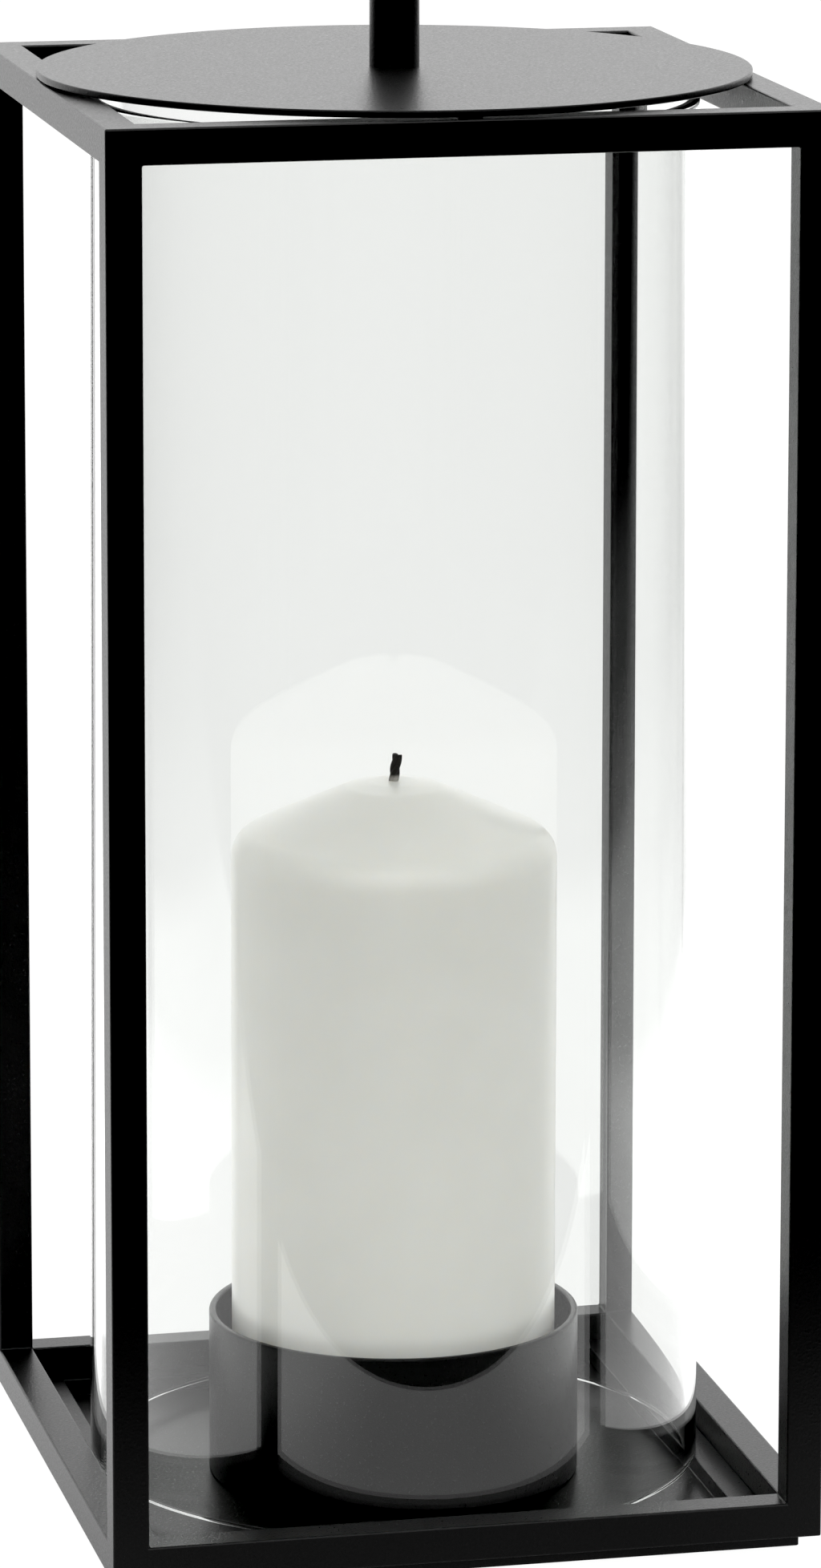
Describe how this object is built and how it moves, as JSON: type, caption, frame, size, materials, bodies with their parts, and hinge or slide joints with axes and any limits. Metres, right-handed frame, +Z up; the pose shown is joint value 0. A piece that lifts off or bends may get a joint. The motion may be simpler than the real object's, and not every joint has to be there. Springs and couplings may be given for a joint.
{
  "type": "candle lantern",
  "caption": "Tall open square-frame candle lantern with a loose glass cylinder, stepped base tray, candle cup, pillar candle and lift-off disc lid with a rod handle.",
  "frame": {"origin": "middle of the resting plane under the pads", "axes": "+Z up; +Y towards the back of the frame; X across the front"},
  "size_m": [0.2, 0.2, 0.4536],
  "materials": {
    "black_powder_coat": "fine-textured satin black powder coat",
    "blackened_steel": "blackened screw steel",
    "black_felt": "matte felt",
    "clear_glass": "clear polished",
    "candle_wax": "smooth slightly translucent wax",
    "burnt_wick": "charred cotton",
    "silicone_bumper": "soft matte"
  },
  "bodies": {
    "frame": {"post_front_left": "black_powder_coat", "post_front_right": "black_powder_coat", "post_back_left": "black_powder_coat", "post_back_right": "black_powder_coat", "top_rail_front": "black_powder_coat", "top_rail_back": "black_powder_coat", "top_rail_left": "black_powder_coat", "top_rail_right": "black_powder_coat", "bottom_rail_front": "black_powder_coat", "bottom_rail_back": "black_powder_coat", "bottom_rail_left": "black_powder_coat", "bottom_rail_right": "black_powder_coat", "base_tray": "black_powder_coat", "tray_screws": "blackened_steel", "base_pads": "black_felt", "candle_cup": "black_powder_coat", "cup_screw": "blackened_steel"},
    "glass": {"glass_cylinder": "clear_glass"},
    "candle": {"candle_body": "candle_wax", "wick": "burnt_wick"},
    "lid": {"lid_disc": "black_powder_coat", "lid_bumpers": "silicone_bumper", "handle_post": "black_powder_coat", "handle_washer": "blackened_steel", "handle_screw": "blackened_steel"}
  },
  "joints": [
    {"name": "glass_lift", "type": "slide", "parent": "frame", "child": "glass", "axis": [0, 0, 1], "range_m": [0, 0.42]},
    {"name": "lid_lift", "type": "slide", "parent": "glass", "child": "lid", "axis": [0, 0, 1], "range_m": [0, 0.15]},
    {"name": "candle_lift", "type": "slide", "parent": "frame", "child": "candle", "axis": [0, 0, 1], "range_m": [0, 0.18]}
  ]
}
